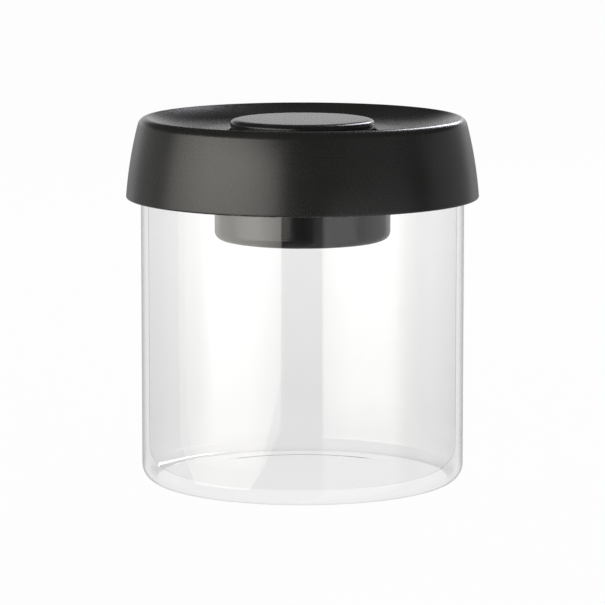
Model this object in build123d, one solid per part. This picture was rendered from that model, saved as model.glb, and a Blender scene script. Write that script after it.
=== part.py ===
# Vacuum canister: a straight glass jar with a press-pump lid.
# Millimetres. The origin is the middle of the jar's base, and +Z is up along the jar.
# The lid lifts off, the button pumps straight down, and turning the button opens a release valve.

import math
import os

from build123d import *

# Jar
jar_radius = 50.35
jar_height = 100.0
glass_wall = 2.4
glass_floor = 3.8
base_corner = 5.0
floor_corner = 7.0
rim_round = 0.9
foot_width = 6.85
push_up = 0.8
push_up_run = 5.0
push_up_round = 6.0

# Lid cover
skirt_overhang = 4.65
skirt_drop = 11.1
skirt_bulge = 0.6
lid_rise = 13.95
crest_inset = 4.3
crest_width = 2.3
crest_fall = 0.3
crest_round = 2.9
dish_depth = 3.95
dish_sag = 1.1
cover_wall = 2.2
skirt_edge_round = 0.5
crest_inner_round = 1.2
well_wall = 1.6
well_edge_round = 0.45

# Button and pump
button_radius = 22.5
button_proud = 3.3
button_gap = 0.7
button_stroke = 8.0
button_shoulder = 3.6
button_shoulder_drop = 1.1
button_rim_height = 4.0
sleeve_inset = 0.9
sleeve_wall = 1.8
cap_top = 2.0
stop_lap = 4.1
barrel_wall = 1.75
barrel_drop = 24.3
barrel_floor = 2.2
barrel_corner = 2.6
spring_radius = 12.5
spring_wire = 0.6
spring_turns = 4.5

# Inner lid
gasket_thickness = 1.5
plug_gap = 2.45
plug_wall = 2.0
flange_height = 2.5
flange_play = 0.35
plug_drop = 10.8
deck_drop = 6.6
deck_wall = 2.2

# Clearances and turn
moving_gap = 0.3
bearing_gap = 0.2
seal_gap = 0.1
turn_angle = 45
overrun = 1.0
thread_play = 0.05

# Small shared sizes
screw_shank = 1.1
screw_head = 2.2
screw_head_height = 1.4
boss_wall = 1.6
rib_wall = 1.2

# Heights and radii that several pieces share
rim_z = jar_height
crest_z = rim_z + lid_rise
dish_z = crest_z - dish_depth
skirt_low = rim_z - skirt_drop
jar_bore = jar_radius - glass_wall
lid_radius = jar_radius + skirt_overhang
crest_corner = lid_radius - crest_inset
well_radius = button_radius + button_gap

flange_low = rim_z + gasket_thickness
flange_high = flange_low + flange_height
plug_radius = jar_bore - plug_gap
plug_bore = plug_radius - plug_wall
flange_radius = jar_radius + flange_play
plug_low = rim_z - plug_drop
deck_high = rim_z - deck_drop
deck_low = deck_high - deck_wall

sleeve_radius = button_radius - sleeve_inset
sleeve_bore = sleeve_radius - sleeve_wall
barrel_bore = sleeve_radius + stop_lap
barrel_radius = barrel_bore + barrel_wall
barrel_low = rim_z - barrel_drop
floor_high = barrel_low + barrel_floor

button_z = dish_z + button_proud
rim_under_z = button_z - button_rim_height
ring_high = rim_under_z - button_stroke - moving_gap
ring_height = 3.8
ring_low = ring_high - ring_height
retainer_high = ring_low - bearing_gap
retainer_height = 1.8
barrel_high = retainer_high - retainer_height
well_low = ring_high + moving_gap
retainer_hole = sleeve_radius + moving_gap

# Where the screws, posts and valves stand, as angles about the jar's axis
cover_screw_angles = (70, 135, 225, 290)
retainer_screw_angles = (90, 180, 270)
cap_screw_angles = (30, 150, 270)
spline_angles = (90, 210, 330)
vent_angles = (0, 120, 240)
cover_post_radius = plug_bore - 2.5 * boss_wall
trough_width = plug_bore - barrel_radius
retainer_post_share = 0.318
retainer_post_radius = barrel_radius + trough_width * retainer_post_share
cap_post_radius = sleeve_bore - boss_wall - screw_shank + moving_gap
release_radius = barrel_radius + trough_width / 2


def outline(steps, rounds=()):
    # A closed face in radius and height. A step is (radius, height), (radius, height, sagitta) or
    # (radius, height, corner). The sagitta bows the edge that ends there to its left, and the corner
    # makes it a smooth curve that heads for that point from both ends.
    points = [step[:2] for step in steps]
    edges = []
    for index, step in enumerate(steps):
        start = points[index - 1]
        if len(step) == 2:
            edges.append(Line(start, step))
        elif isinstance(step[2], tuple):
            edges.append(Bezier(start, step[2], step[:2]))
        else:
            edges.append(SagittaArc(start, step[:2], step[2]))
    face = make_face(edges).face()
    for index, radius in rounds:
        corner = face.vertices().sort_by_distance(points[index])[0]
        face = face.fillet_2d(radius, [corner])
    return face


def turned(steps, rounds=(), arc=360, start=0):
    # A solid of revolution about Z, or a sector of one from the angle start
    face = Plane.XZ * outline(steps, rounds)
    return Rot(0, 0, start) * revolve(face, Axis.Z, arc)


def ring(bore, radius, low, high, arc=360, start=0):
    steps = [(bore, low), (radius, low), (radius, high), (bore, high)]
    return turned(steps, arc=arc, start=start)


def post(radius, low, high):
    return Pos(0, 0, low) * extrude(Circle(radius), high - low)


def bar(length, width, low, high):
    # A block that runs outward along X from the axis
    return Pos(0, 0, low) * extrude(Pos(length / 2, 0) * Rectangle(length, width), high - low)


def around(radius, angles):
    return [Rot(0, 0, angle) * Pos(radius, 0, 0) for angle in angles]


def group(solids):
    # Several loose solids in one node
    return Compound(children=[solid.solid() for solid in solids])


# Glass jar

def glass_jar():
    foot_outer = jar_radius - base_corner
    foot_inner = foot_outer - foot_width
    panel_radius = foot_inner - push_up_run
    steps = [
        (0, push_up),
        (0, glass_floor),
        (jar_bore, glass_floor),
        (jar_bore, jar_height),
        (jar_radius, jar_height),
        (jar_radius, 0),
        (foot_inner, 0),
        (panel_radius, push_up),
    ]
    rounds = [(2, floor_corner), (3, rim_round), (4, rim_round), (5, base_corner),
              (6, push_up_round), (7, push_up_round)]
    return turned(steps, rounds)


# Lid cover: the flared skirt, the dish, the well that the button slides in, and the posts inside

def lid_form(inset, low, rounds=()):
    crest_inner = crest_corner - crest_width
    lean = (crest_inset + 4 * skirt_bulge) / (crest_z - skirt_low)
    corner = crest_corner - inset * (1 - lean)
    steps = [
        (0, low),
        (0, dish_z - inset),
        (well_radius, dish_z - inset),
        (crest_inner, crest_z - inset, -dish_sag),
        (corner, crest_z - crest_fall - inset),
        (lid_radius - inset, low, skirt_bulge),
    ]
    return turned(steps, rounds)


cover_screw_shank = 1.25
cover_post = cover_screw_shank + boss_wall
cover_rib_drop = 3.8
cover_rib_angles = tuple(range(15, 360, 30))
seat_ring_inset = 4.2
seat_ring_wall = 1.6


def lid_cover():
    shell = lid_form(0, skirt_low, [(4, crest_round), (3, crest_inner_round)])
    shell = shell - lid_form(cover_wall, skirt_low - overrun)
    seat_radius = flange_radius - seat_ring_inset + seat_ring_wall
    inside = [ring(seat_radius - seat_ring_wall, seat_radius, flange_high, crest_z)]
    for place in around(cover_post_radius, cover_screw_angles):
        inside.append(place * post(cover_post, deck_high, crest_z))
    rib_length = seat_radius - seat_ring_wall / 2
    rib_low = dish_z - cover_rib_drop
    for angle in cover_rib_angles:
        rib = bar(rib_length, rib_wall, rib_low, crest_z)
        inside.append(Rot(0, 0, angle) * rib)
    embed = lid_form(cover_wall / 2, skirt_low)
    for piece in inside:
        shell = shell + (piece & embed)
    shell = shell + ring(well_radius, well_radius + well_wall, well_low, dish_z - cover_wall / 2)
    shell = shell - post(well_radius, skirt_low, crest_z)
    for place in around(cover_post_radius, cover_screw_angles):
        pilot = post(cover_screw_shank + thread_play, deck_high - overrun, cover_screw_tip + overrun)
        shell = shell - place * pilot
    edges = shell.edges().filter_by(GeomType.CIRCLE).group_by(Axis.Z)[0]
    shell = fillet(edges, skirt_edge_round)
    well_edge = shell.edges().filter_by(GeomType.CIRCLE).sort_by_distance((well_radius, 0, dish_z))[0]
    return fillet(well_edge, well_edge_round)


# Inner lid: the plug, the flange over the rim, the deck and the pump barrel in one moulding

spring_centring_gap = 1.3
valve_boss = spring_radius - spring_wire - spring_centring_gap
valve_boss_rise = 3.7
filter_recess = valve_boss - boss_wall
valve_plate = 1.8
port_radius = 1.0
port_circle = 4.2
valve_stem_hole = 1.25
port_angles = (45, 135, 225, 315)
valve_boss_high = floor_high + valve_boss_rise
recess_high = valve_boss_high - valve_plate

guide_share = 0.374
release_port_share = 0.333
guide_radius = trough_width * guide_share
release_port = guide_radius * release_port_share
release_seat_wall = 1.2
release_seat_rise = 0.5
socket_rise = 2.0
socket_wall = 1.3
inner_corner = 0.8
deck_rib_angles = tuple(range(30, 360, 30))
retainer_post = screw_shank + boss_wall + moving_gap
pilot_floor = 1.0


def inner_lid():
    steps = [
        (0, valve_boss_high),
        (valve_boss, valve_boss_high),
        (valve_boss, floor_high),
        (barrel_bore, floor_high),
        (barrel_bore, barrel_high),
        (barrel_radius, barrel_high),
        (barrel_radius, deck_high),
        (plug_bore, deck_high),
        (plug_bore, flange_high),
        (flange_radius, flange_high),
        (flange_radius, flange_low),
        (plug_radius, flange_low),
        (plug_radius, plug_low),
        (plug_bore, plug_low),
        (plug_bore, deck_low),
        (barrel_radius, deck_low),
        (barrel_radius, barrel_low),
        (filter_recess, barrel_low),
        (filter_recess, recess_high),
        (0, recess_high),
    ]
    rounds = [(2, inner_corner), (3, inner_corner), (6, inner_corner), (7, inner_corner),
              (12, inner_corner), (14, inner_corner), (15, inner_corner), (16, barrel_corner)]
    body = turned(steps, rounds)
    rib_span = plug_bore + plug_wall / 2
    for angle in deck_rib_angles:
        rib = bar(rib_span, rib_wall, plug_low, deck_high - deck_wall / 2)
        body = body + Rot(0, 0, angle) * (rib - post(barrel_bore + barrel_wall / 2, plug_low - overrun, rim_z))
    for place in around(retainer_post_radius, retainer_screw_angles):
        body = body + place * post(retainer_post, deck_low + deck_wall / 2, barrel_high)
        body = body - place * post(screw_shank + thread_play, deck_low + pilot_floor, barrel_high + overrun)
    for place in around(cover_post_radius, cover_screw_angles):
        body = body - place * post(cover_screw_shank + seal_gap, plug_low - overrun, deck_high + overrun)
    release_place = Pos(release_radius, 0, 0)
    seat = post(release_port + release_seat_wall, deck_high - deck_wall / 2, deck_high + release_seat_rise)
    socket = ring(guide_radius, guide_radius + socket_wall, deck_high - deck_wall / 2, deck_high + socket_rise)
    body = body + release_place * seat + release_place * socket
    body = body - release_place * post(release_port, plug_low - overrun, rim_z)
    for place in around(port_circle, port_angles):
        body = body - place * post(port_radius, recess_high - overrun, valve_boss_high + overrun)
    return body - post(valve_stem_hole, recess_high - overrun, valve_boss_high + overrun)


# Mouth gasket: a flange that the rim presses on, and a sleeve with two lips inside the mouth

gasket_sleeve = 0.9
gasket_drop = 8.8
gasket_edge_inset = 0.1
lip_reach_gap = 0.15
lip_thickness = 0.5
lip_root = 1.1
lip_lean = 1.5
lip_drops = (2.6, 6.0)


def mouth_gasket():
    sleeve = plug_radius + gasket_sleeve
    low = rim_z - gasket_drop
    steps = [
        (plug_radius, low),
        (sleeve, low),
        (sleeve, rim_z),
        (jar_radius - gasket_edge_inset, rim_z),
        (jar_radius - gasket_edge_inset, flange_low),
        (plug_radius, flange_low),
    ]
    body = turned(steps)
    lip_tip = jar_bore - lip_reach_gap
    root = plug_radius + gasket_sleeve / 2
    for drop in lip_drops:
        tip_z = rim_z - drop
        lip = [
            (root, tip_z - lip_lean - lip_root),
            (lip_tip, tip_z - lip_thickness),
            (lip_tip, tip_z),
            (root, tip_z - lip_lean),
        ]
        body = body + turned(lip)
    return body


# Screws: a low round head with a cross recess, a straight shank and a short point

def screw(shank, head, head_height, length):
    # Head under, point up
    point = shank
    steps = [
        (0, -head_height),
        (head, -head_height),
        (head, 0),
        (shank, 0),
        (shank, length - point),
        (shank / 2, length),
        (0, length),
    ]
    body = turned(steps, [(1, head_height / 2)])
    slot_width = shank / 2
    slot_depth = head_height / 2
    for angle in (0, 90):
        slot = Box(head, slot_width, slot_depth * 2)
        body = body - Pos(0, 0, -head_height) * Rot(0, 0, angle) * slot
    return body


cover_screw_length = 11.0
cover_screw_head = 2.4
washer_thickness = 0.6
cover_screw_z = deck_low - washer_thickness
cover_screw_tip = cover_screw_z + cover_screw_length


def lid_screws():
    one = screw(cover_screw_shank, cover_screw_head, screw_head_height, cover_screw_length)
    places = around(cover_post_radius, cover_screw_angles)
    return group([place * Pos(0, 0, cover_screw_z) * one for place in places])


def screw_seals():
    bore = cover_screw_shank + seal_gap
    one = ring(bore, cover_screw_head + seal_gap, cover_screw_z, deck_low)
    return group([place * one for place in around(cover_post_radius, cover_screw_angles)])


# Barrel retainer: closes the barrel's mouth, stops the piston and carries the release ring

bearing_rim_wall = 1.2
bearing_rim_rise = 1.9
ring_radius = barrel_bore + 0.5 * barrel_wall
stop_wall_angle = 6
stop_gap_angle = 1.5


def barrel_retainer():
    rim_inner = ring_radius + moving_gap
    rim_outer = rim_inner + bearing_rim_wall
    plate = ring(retainer_hole, rim_outer, barrel_high, retainer_high)
    rim = ring(rim_inner, rim_outer, barrel_high, retainer_high + bearing_rim_rise)
    body = plate + rim
    for angle in retainer_screw_angles:
        ear = bar(retainer_post_radius, 2 * retainer_post, barrel_high, retainer_high)
        ear = ear - post(rim_inner, barrel_high - overrun, retainer_high + overrun)
        body = body + Rot(0, 0, angle) * ear
    for place in around(retainer_post_radius, retainer_screw_angles):
        body = body + place * post(retainer_post, barrel_high, retainer_high)
        body = body - place * post(screw_shank + seal_gap, barrel_high - overrun, retainer_high + overrun)
        body = body - place * post(screw_head + moving_gap, retainer_high, arm_low)
    stop_starts = (
        arm_start - stop_gap_angle - stop_wall_angle,
        arm_start + arm_angle + turn_angle + stop_gap_angle,
    )
    for start in stop_starts:
        body = body + ring(rim_inner, rim_outer, barrel_high, arm_low + stop_rise, stop_wall_angle, start)
    return body


retainer_screw_length = retainer_high - deck_low - pilot_floor - seal_gap


def retainer_screws():
    one = Rot(180, 0, 0) * screw(screw_shank, screw_head, screw_head_height, retainer_screw_length)
    places = around(retainer_post_radius, retainer_screw_angles)
    return group([place * Pos(0, 0, retainer_high) * one for place in places])


# Umbrella valves: a thin disc over the ports, held by a stem with a bulb

umbrella_lap = 1.0
umbrella_radius = port_circle + port_radius + umbrella_lap
umbrella_edge = 0.5
umbrella_height = 1.1
valve_stem = 1.15
valve_bulb = 1.7
valve_bulb_height = 1.1


def umbrella_valve(seat_z, plate):
    under = seat_z - plate
    bulb_low = under - valve_bulb_height
    steps = [
        (0, bulb_low),
        (valve_stem / 2, bulb_low),
        (valve_bulb, under - valve_bulb_height / 2),
        (valve_bulb, under - seal_gap),
        (valve_stem, under - seal_gap),
        (valve_stem, seat_z),
        (umbrella_radius, seat_z),
        (umbrella_radius, seat_z + umbrella_edge),
        (0, seat_z + umbrella_height),
    ]
    return turned(steps)


def intake_valve():
    return umbrella_valve(valve_boss_high, valve_plate)


# Filter disc and its slotted cover, in the recess under the barrel

filter_play = 0.1
filter_cover_height = 1.2
filter_thickness = 1.4
slot_count = 8
slot_width = 1.4
slot_inner = 2.6
slot_outer = filter_recess - boss_wall


def filter_cover():
    radius = filter_recess - filter_play
    body = post(radius, barrel_low, barrel_low + filter_cover_height)
    slot_length = slot_outer - slot_inner
    slot = Pos((slot_inner + slot_outer) / 2, 0, barrel_low - overrun) * extrude(
        SlotOverall(slot_length, slot_width), filter_cover_height + 2 * overrun)
    for step in range(slot_count):
        body = body - Rot(0, 0, step * 360 / slot_count) * slot
    return body


def intake_filter():
    low = barrel_low + filter_cover_height
    return post(filter_recess - 2 * filter_play, low, low + filter_thickness)


# Button cap: the round button with a sleeve below it that runs in the retainer

spline_depth = 1.0
spline_width = 3.6
vent_width = 4.0
vent_height = 1.6
cap_pilot_depth = 8.0
cap_post = screw_shank + boss_wall
cap_rib_drop = 2.0
cap_rib_angles = tuple(range(0, 360, 60))
button_tuck = 0.55
button_side_bow = 0.15
piston_z = barrel_high - moving_gap
sleeve_low = piston_z


def button_cap():
    rim_corner = (button_radius, button_z)
    steps = [
        (0, button_z),
        (0, button_z - cap_top),
        (sleeve_bore, button_z - cap_top),
        (sleeve_bore, sleeve_low),
        (sleeve_radius, sleeve_low),
        (sleeve_radius, rim_under_z),
        (button_radius - button_tuck, rim_under_z),
        (button_radius, button_z - button_shoulder_drop, -button_side_bow),
        (button_radius - button_shoulder, button_z, rim_corner),
    ]
    body = turned(steps)
    cap_ceiling = button_z - cap_top / 2
    for place in around(cap_post_radius, cap_screw_angles):
        body = body + place * post(cap_post, sleeve_low, cap_ceiling)
    for angle in cap_rib_angles:
        rib = bar(sleeve_bore + sleeve_wall / 2, rib_wall, button_z - cap_top - cap_rib_drop, cap_ceiling)
        body = body + Rot(0, 0, angle) * rib
    for place in around(cap_post_radius, cap_screw_angles):
        body = body - place * post(screw_shank + thread_play, sleeve_low - overrun, sleeve_low + cap_pilot_depth)
    groove_bore = sleeve_radius - spline_depth
    groove_half = math.degrees(spline_width / 2 / sleeve_radius)
    for angle in spline_angles:
        groove = ring(groove_bore, sleeve_radius + seal_gap, sleeve_low - overrun, rim_under_z,
                      2 * groove_half, angle - groove_half)
        body = body - groove
    for angle in vent_angles:
        vent = bar(sleeve_radius + overrun, vent_width, sleeve_low - overrun, sleeve_low + vent_height)
        vent = vent - post(sleeve_bore - overrun, sleeve_low - 2 * overrun, sleeve_low + 2 * vent_height)
        body = body - Rot(0, 0, angle) * vent
    return body


# Piston: a hollow disc under the sleeve, with a groove for the lip seal

piston_height = 5.0
piston_plate = 2.2
piston_play = 0.35
piston_wall = 2.2
seal_groove_width = 2.2
seal_groove_depth = 2.15
spring_boss_wall = 1.3
spring_boss_drop = 1.5

piston_radius = barrel_bore - piston_play
piston_low = piston_z - piston_height
plate_low = piston_z - piston_plate
groove_radius = piston_radius - seal_groove_depth
groove_low = piston_low + (piston_height - seal_groove_width) * 0.5


def piston():
    groove_high = groove_low + seal_groove_width
    cup_bore = groove_radius - piston_wall
    steps = [
        (0, plate_low),
        (cup_bore, plate_low),
        (cup_bore, piston_low),
        (piston_radius, piston_low),
        (piston_radius, groove_low),
        (groove_radius, groove_low),
        (groove_radius, groove_high),
        (piston_radius, groove_high),
        (piston_radius, piston_z),
        (0, piston_z),
    ]
    body = turned(steps)
    boss = spring_radius - spring_wire - moving_gap
    body = body + ring(boss - spring_boss_wall, boss, plate_low - spring_boss_drop, piston_z - piston_plate / 2)
    for place in around(port_circle, port_angles):
        body = body - place * post(port_radius, plate_low - overrun, piston_z + overrun)
    for place in around(cap_post_radius, cap_screw_angles):
        body = body - place * post(screw_shank + seal_gap, plate_low - overrun, piston_z + overrun)
    return body - post(valve_stem_hole, plate_low - overrun, piston_z + overrun)


seal_body_share = 0.6
seal_lip = 0.6


def piston_seal():
    bore = groove_radius + seal_gap
    lip_radius = barrel_bore - seal_gap
    body_radius = bore + (lip_radius - bore) * seal_body_share
    low = groove_low + seal_gap
    high = groove_low + seal_groove_width - seal_gap
    middle = (low + high) / 2
    steps = [
        (bore, low),
        (body_radius, low),
        (lip_radius, low),
        (lip_radius, low + seal_lip / 2),
        (body_radius, middle),
        (lip_radius, high - seal_lip / 2),
        (lip_radius, high),
        (bore, high),
    ]
    return turned(steps)


def exhaust_valve():
    return umbrella_valve(piston_z, piston_plate)


piston_screw_length = 7.0


def piston_screws():
    one = screw(screw_shank, screw_head, screw_head_height, piston_screw_length)
    places = around(cap_post_radius, cap_screw_angles)
    return group([place * Pos(0, 0, plate_low) * one for place in places])


# Springs: round wire on a helix

def coil(radius, wire, low, high, turns):
    height = high - low - 2 * wire
    path = Helix(height / turns, height, radius, center=(0, 0, low + wire))
    section = Plane(origin=path @ 0, z_dir=path % 0) * Circle(wire)
    return sweep(section, path, is_frenet=True)


def return_spring():
    return coil(spring_radius, spring_wire, floor_high + thread_play, plate_low - moving_gap, spring_turns)


# Release ring: turns with the button and lifts the release valve on a sloping arm

arm_start = -52
arm_angle = 58
arm_thickness = 0.8
arm_share = 0.249
arm_reach = trough_width * arm_share
ramp_rise = 2.0
guide_rise = 7.5
guide_plate = 1.0
guide_wall_share = 0.167
guide_wall = guide_radius * guide_wall_share
arm_gap = 0.5
stop_rise = 1.6
spline_key_gap = 0.3
upstand_wall = 1.3
arm_low = deck_high + guide_rise + arm_gap
stem_share = 0.267
head_share = 0.567
stem_radius = guide_radius * stem_share
head_radius = guide_radius * head_share
head_height = 1.2
head_gap = 0.5
seal_thickness = 1.2
flange_thickness = 0.8
plunger_flange_share = 0.733
spigot_share = 0.2
plunger_flange = guide_radius * plunger_flange_share
spigot_radius = guide_radius * spigot_share
crown_rise = 0.4

head_low = arm_low + arm_thickness + head_gap


def ramp_wedge():
    # The arm's plate, cut to a plane that climbs ramp_rise over the turn
    outer = release_radius + arm_reach
    block_high = arm_low + arm_thickness + ramp_rise * 1.5
    block = ring(ring_radius - upstand_wall, outer, arm_low, block_high, arm_angle, arm_start)
    half_turn = turn_angle / 2
    half_climb = release_radius * math.sin(math.radians(half_turn))
    slope = math.degrees(math.atan(ramp_rise / 2 / half_climb))
    middle_z = arm_low + arm_thickness + ramp_rise / 2
    reach = 2 * outer
    cutter = Pos(0, 0, reach / 2) * Box(2 * reach, 2 * reach, reach)
    cutter = Rot(0, 0, -half_turn) * Pos(0, 0, middle_z) * Rot(-slope, 0, 0) * cutter
    return block - cutter


def release_ring():
    body = ring(retainer_hole, ring_radius, ring_low, ring_high)
    body = body + ring(ring_radius - upstand_wall, ring_radius, ring_low, arm_low + arm_thickness)
    key_bore = sleeve_radius - spline_depth + spline_key_gap
    key_half = math.degrees((spline_width / 2 - spline_key_gap) / sleeve_radius)
    for angle in spline_angles:
        body = body + ring(key_bore, retainer_hole + overrun, ring_low, ring_high, 2 * key_half, angle - key_half)
    arm = ramp_wedge()
    slot_half = stem_radius + moving_gap
    closed_end = -turn_angle - math.degrees(slot_half / release_radius)
    slot_arc = arm_start + arm_angle + stop_wall_angle - closed_end
    slot = ring(release_radius - slot_half, release_radius + slot_half, arm_low - overrun, head_low + ramp_rise,
                slot_arc, closed_end)
    return body + (arm - slot)


# Release valve: a guide cage on the deck, a plunger with a rubber face, and a spring between them

release_seat_z = deck_high + release_seat_rise
plunger_z = release_seat_z + seal_thickness
flange_top_z = plunger_z + flange_thickness
guide_high = deck_high + guide_rise
guide_under = guide_high - guide_plate
window_height = 2.6
window_share = 0.833
window_width = guide_radius * window_share
window_angles = (60, 180, 300)


def release_guide():
    steps = [
        (0, guide_under),
        (guide_radius - guide_wall, guide_under),
        (guide_radius - guide_wall, deck_high),
        (guide_radius, deck_high),
        (guide_radius, guide_high),
        (0, guide_high),
    ]
    body = turned(steps)
    slot_half = stem_radius + moving_gap
    body = body - bar(guide_radius + overrun, 2 * slot_half, flange_top_z + moving_gap, guide_high + overrun)
    body = body - post(slot_half, guide_under - overrun, guide_high + overrun)
    window_low = deck_high + socket_rise + moving_gap
    for angle in window_angles:
        window = bar(guide_radius + overrun, window_width, window_low, window_low + window_height)
        body = body - Rot(0, 0, angle) * window
    return Pos(release_radius, 0, 0) * body


def release_plunger():
    steps = [
        (0, plunger_z - seal_thickness / 2),
        (spigot_radius, plunger_z - seal_thickness / 2),
        (spigot_radius, plunger_z),
        (plunger_flange, plunger_z),
        (plunger_flange, flange_top_z),
        (stem_radius, flange_top_z),
        (stem_radius, head_low),
        (head_radius, head_low + crown_rise),
        (head_radius, head_low + head_height),
        (0, head_low + head_height),
    ]
    return Pos(release_radius, 0, 0) * turned(steps)


def release_seal():
    face_radius = plunger_flange - seal_gap
    return Pos(release_radius, 0, 0) * ring(spigot_radius, face_radius, release_seat_z, plunger_z)


release_spring_share = 0.5
release_spring_radius = guide_radius * release_spring_share
release_spring_wire = 0.25
release_spring_turns = 3.5


def release_spring():
    low = flange_top_z + seal_gap
    one = coil(release_spring_radius, release_spring_wire, low, guide_under - seal_gap, release_spring_turns)
    return Pos(release_radius, 0, 0) * one


nodes = {
    "glass_jar": glass_jar,
    "lid_cover": lid_cover,
    "inner_lid": inner_lid,
    "mouth_gasket": mouth_gasket,
    "lid_screws": lid_screws,
    "screw_seals": screw_seals,
    "barrel_retainer": barrel_retainer,
    "retainer_screws": retainer_screws,
    "intake_valve": intake_valve,
    "intake_filter": intake_filter,
    "filter_cover": filter_cover,
    "return_spring": return_spring,
    "release_ring": release_ring,
    "release_guide": release_guide,
    "release_plunger": release_plunger,
    "release_seal": release_seal,
    "release_spring": release_spring,
    "button_cap": button_cap,
    "piston": piston,
    "piston_seal": piston_seal,
    "exhaust_valve": exhaust_valve,
    "piston_screws": piston_screws,
}

os.makedirs("parts", exist_ok=True)
for name, make in nodes.items():
    export_step(make(), f"parts/{name}.step")
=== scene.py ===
import math

import bmesh
import bpy
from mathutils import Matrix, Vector


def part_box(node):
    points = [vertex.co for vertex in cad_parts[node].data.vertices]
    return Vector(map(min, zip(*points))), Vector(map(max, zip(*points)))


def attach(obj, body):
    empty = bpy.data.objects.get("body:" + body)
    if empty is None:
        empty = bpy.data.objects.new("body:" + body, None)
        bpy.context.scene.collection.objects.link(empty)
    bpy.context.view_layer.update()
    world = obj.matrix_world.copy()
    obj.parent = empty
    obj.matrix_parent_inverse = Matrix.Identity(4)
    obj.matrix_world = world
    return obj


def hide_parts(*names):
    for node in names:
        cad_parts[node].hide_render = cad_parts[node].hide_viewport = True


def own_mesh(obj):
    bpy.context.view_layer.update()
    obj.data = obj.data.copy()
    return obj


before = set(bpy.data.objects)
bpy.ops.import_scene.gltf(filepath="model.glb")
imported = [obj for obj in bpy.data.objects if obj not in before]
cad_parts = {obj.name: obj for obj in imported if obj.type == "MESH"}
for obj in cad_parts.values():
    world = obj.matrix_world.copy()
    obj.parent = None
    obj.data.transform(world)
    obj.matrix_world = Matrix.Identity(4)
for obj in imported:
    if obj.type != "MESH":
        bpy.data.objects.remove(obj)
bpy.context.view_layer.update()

# The object is a glass canister with a black pump lid. The scene is in metres, Z up, with the middle
# of the jar's foot at the origin. Shapes are given in millimetres, materials and the studio in metres.

mm = 0.001


def say(words):
    print("canister:", words)


# Mesh tools

def placed(name, mesh):
    piece = bpy.data.objects.new(name, mesh)
    bpy.context.scene.collection.objects.link(piece)
    return piece


def meshFrom(form, name):
    mesh = bpy.data.meshes.new(name)
    form.to_mesh(mesh)
    form.free()
    return mesh


def smoothed(mesh, sharpFrom):
    # Edges stay sharp where the faces turn by more than that many degrees
    mesh.shade_smooth()
    mesh.set_sharp_from_angle(angle=math.radians(sharpFrom))


def polar(reach, angle, height):
    return (reach * math.cos(angle), reach * math.sin(angle), height)


def dress(piece, finish):
    piece.data.materials.clear()
    piece.data.materials.append(finish)
    return piece


# Lathe tools: a profile is a list of corners, and each corner is (radius, height, rounding, bow)
# in millimetres. Bow is how far the side that ends at the corner swells to its left.

lathe = {
    "segments": 256,
    "bowSteps": 24,  # straight runs in a bowed side
    "weld": 1e-7,  # in metres
    "sharpFrom": 32,
}


def bowedSide(start, end, bow):
    if not bow:
        return [start, end]
    chord = end - start
    left = Vector((-chord.y, chord.x)).normalized()
    half = chord.length / 2
    arcRadius = (half * half + bow * bow) / (2 * abs(bow))
    sweep = 2 * math.asin(min(1.0, half / arcRadius))
    side = 1 if bow > 0 else -1
    points = []
    for i in range(lathe["bowSteps"] + 1):
        angle = sweep * (i / lathe["bowSteps"] - 0.5)
        along = arcRadius * math.sin(angle)
        rise = arcRadius * (math.cos(angle) - math.cos(sweep / 2))
        points.append((start + end) / 2 + chord.normalized() * along + left * rise * side)
    return points


def trimmed(points, distance):
    # Cuts that length off the end of a polyline
    points = list(points)
    while len(points) > 1:
        last = (points[-1] - points[-2]).length
        if last > distance:
            points[-1] = points[-1].lerp(points[-2], distance / last)
            return points
        distance -= last
        points.pop()
    return points


def roundedProfile(corners, arcSteps):
    count = len(corners)
    spots = [Vector(c[:2]) for c in corners]
    rounding = [c[2] if len(c) > 2 else 0 for c in corners]
    bows = [c[3] if len(c) > 3 else 0 for c in corners]
    sides = [bowedSide(spots[i - 1], spots[i], bows[i]) for i in range(count)]
    cuts = []
    for i in range(count):
        inward = (sides[i][-1] - sides[i][-2]).normalized()
        outward = (sides[(i + 1) % count][1] - sides[(i + 1) % count][0]).normalized()
        turn = inward.angle(outward, 0.0)
        cuts.append(rounding[i] * math.tan(turn / 2))
    profile = []
    for i in range(count):
        side = sides[i]
        if cuts[i]:
            side = trimmed(side, cuts[i])
        if cuts[i - 1]:
            side = list(reversed(trimmed(list(reversed(side)), cuts[i - 1])))
        sides[i] = side
    for i in range(count):
        # A side starts where the last arc ended, or at a corner that is already there
        profile.extend(sides[i] if cuts[i - 1] else sides[i][1:])
        if cuts[i]:
            before, corner, after = sides[i][-1], spots[i], sides[(i + 1) % count][0]
            weight = math.cos((corner - before).angle(after - corner) / 2)
            for k in range(1, arcSteps):
                t = k / arcSteps
                a, b, c = (1 - t) ** 2, 2 * t * (1 - t) * weight, t * t
                profile.append((before * a + corner * b + after * c) / (a + b + c))
    return [p * mm for p in profile]


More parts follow.
